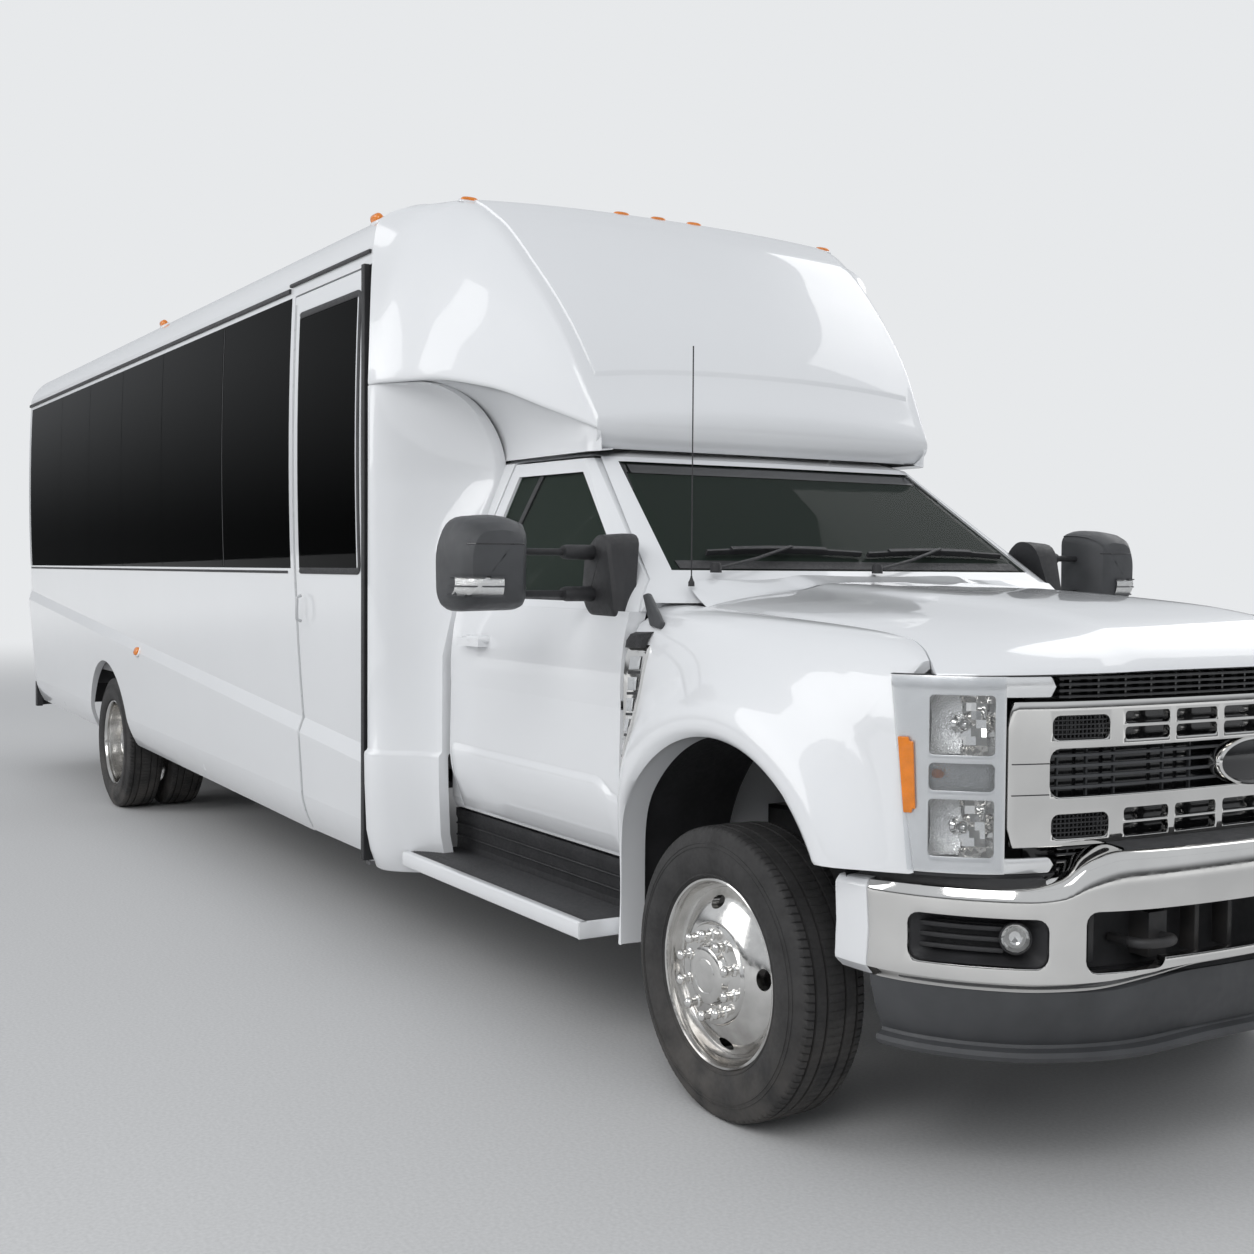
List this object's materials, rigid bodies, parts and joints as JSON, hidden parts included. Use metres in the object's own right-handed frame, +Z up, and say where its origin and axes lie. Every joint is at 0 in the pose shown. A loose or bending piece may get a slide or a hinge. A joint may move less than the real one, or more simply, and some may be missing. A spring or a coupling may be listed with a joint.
{
  "type": "cutaway shuttle minibus",
  "caption": "Long shuttle bus body on a bonneted cab chassis, with steering, rolling wheels, cab doors, entry door and hood that open.",
  "frame": {"origin": "on the ground under the middle of the overall length and width", "axes": "+X forward, +Y to the vehicle's left, +Z up"},
  "size_m": [10.19, 3, 3],
  "materials": {
    "white_body": "gloss white paint",
    "grey_interior": "grained grey trim",
    "black_steel": "satin black chassis paint",
    "cast_dark": "bare casting, dull",
    "tyre_rubber": "black rubber",
    "polished_wheel": "polished stainless wheel covers",
    "chrome": "bright plated",
    "black_plastic": "textured black plastic",
    "dark_glass": "near-black tinted glass",
    "clear_glass": "green-tinted glass",
    "lamp_lens": "clear lamp lens over bright reflectors",
    "amber_lens": "amber lamp lens",
    "red_lens": "red lamp lens",
    "seat_cloth": "dark woven seat cloth",
    "floor_vinyl": "ribbed grey floor covering"
  },
  "bodies": {
    "chassis": {"frame_rails": "black_steel", "engine_block": "cast_dark", "driveshaft": "cast_dark", "fuel_tank": "black_plastic", "exhaust": "cast_dark", "front_axle": "black_steel", "rear_axle": "black_steel", "leaf_springs": "black_steel", "side_wall_left": "white_body", "side_wall_right": "white_body", "roof": "white_body", "rear_cap": "white_body", "coach_glass": "dark_glass", "coach_floor": "floor_vinyl", "coach_seats": "seat_cloth", "cab_seats": "seat_cloth", "front_cap": "white_body", "cab_shell": "white_body", "cab_floor": "floor_vinyl", "windshield": "clear_glass", "dashboard": "grey_interior", "steering_wheel": "grey_interior", "fenders": "white_body", "headlamps": "lamp_lens", "grille": "chrome", "core_support": "black_steel", "front_bumper": "chrome", "air_dam": "black_plastic", "cab_steps": "white_body", "rear_bumper": "black_plastic", "marker_lamps": "amber_lens", "tail_lamps": "red_lens", "mud_flaps": "tyre_rubber"},
    "entry_door": {"entry_door": "white_body", "entry_glass": "dark_glass"},
    "hood": {"hood": "white_body"},
    "tie_rod": {"tie_rod": "black_steel"},
    "knuckle_left": {"knuckle_left": "cast_dark"},
    "front_wheel_left": {"front_tyre_left": "tyre_rubber", "front_wheel_left": "polished_wheel"},
    "rear_wheels_left": {"rear_tyres_left": "tyre_rubber", "rear_wheels_left": "polished_wheel"},
    "cab_door_left": {"cab_door_left": "white_body", "cab_glass_left": "clear_glass", "mirror_left": "black_plastic"},
    "knuckle_right": {"knuckle_right": "cast_dark"},
    "front_wheel_right": {"front_tyre_right": "tyre_rubber", "front_wheel_right": "polished_wheel"},
    "rear_wheels_right": {"rear_tyres_right": "tyre_rubber", "rear_wheels_right": "polished_wheel"},
    "cab_door_right": {"cab_door_right": "white_body", "cab_glass_right": "clear_glass", "mirror_right": "black_plastic"}
  },
  "joints": [
    {"name": "steer_left", "type": "hinge", "parent": "chassis", "child": "knuckle_left", "pos_m": [4.035, 0.8, 0.41], "axis": [0, 0, 1], "range_deg": [-35, 35]},
    {"name": "steer_right", "type": "hinge", "parent": "chassis", "child": "knuckle_right", "pos_m": [4.035, -0.8, 0.41], "axis": [0, 0, 1], "range_deg": [-35, 35]},
    {"name": "tie_rod_pivot", "type": "hinge", "parent": "knuckle_left", "child": "tie_rod", "pos_m": [3.83, 0.8, 0.3], "axis": [0, 0, 1], "range_deg": [-35, 35]},
    {"name": "entry_door_swing", "type": "hinge", "parent": "chassis", "child": "entry_door", "pos_m": [1.887, -1.2, 1.5], "axis": [0, 0, 1], "range_deg": [0, 90]},
    {"name": "cab_door_left_swing", "type": "hinge", "parent": "chassis", "child": "cab_door_left", "pos_m": [3.383, 1, 1], "axis": [0, 0, -1], "range_deg": [0, 65]},
    {"name": "cab_door_right_swing", "type": "hinge", "parent": "chassis", "child": "cab_door_right", "pos_m": [3.383, -1, 1], "axis": [0, 0, 1], "range_deg": [0, 65]},
    {"name": "hood_lift", "type": "hinge", "parent": "chassis", "child": "hood", "pos_m": [3.635, 0, 1.392], "axis": [0, -1, 0], "range_deg": [0, 45]},
    {"name": "front_wheel_left_spin", "type": "hinge", "parent": "knuckle_left", "child": "front_wheel_left", "pos_m": [4.035, 0.95, 0.41], "axis": [0, 1, 0], "continuous": true},
    {"name": "rear_wheels_left_spin", "type": "hinge", "parent": "chassis", "child": "rear_wheels_left", "pos_m": [-2.535, 0.925, 0.41], "axis": [0, 1, 0], "continuous": true},
    {"name": "front_wheel_right_spin", "type": "hinge", "parent": "knuckle_right", "child": "front_wheel_right", "pos_m": [4.035, -0.95, 0.41], "axis": [0, 1, 0], "continuous": true},
    {"name": "rear_wheels_right_spin", "type": "hinge", "parent": "chassis", "child": "rear_wheels_right", "pos_m": [-2.535, -0.925, 0.41], "axis": [0, 1, 0], "continuous": true}
  ],
  "couplings": [
    {"joint": "steer_right", "follows": "steer_left", "ratio": 1},
    {"joint": "tie_rod_pivot", "follows": "steer_left", "ratio": -1}
  ]
}
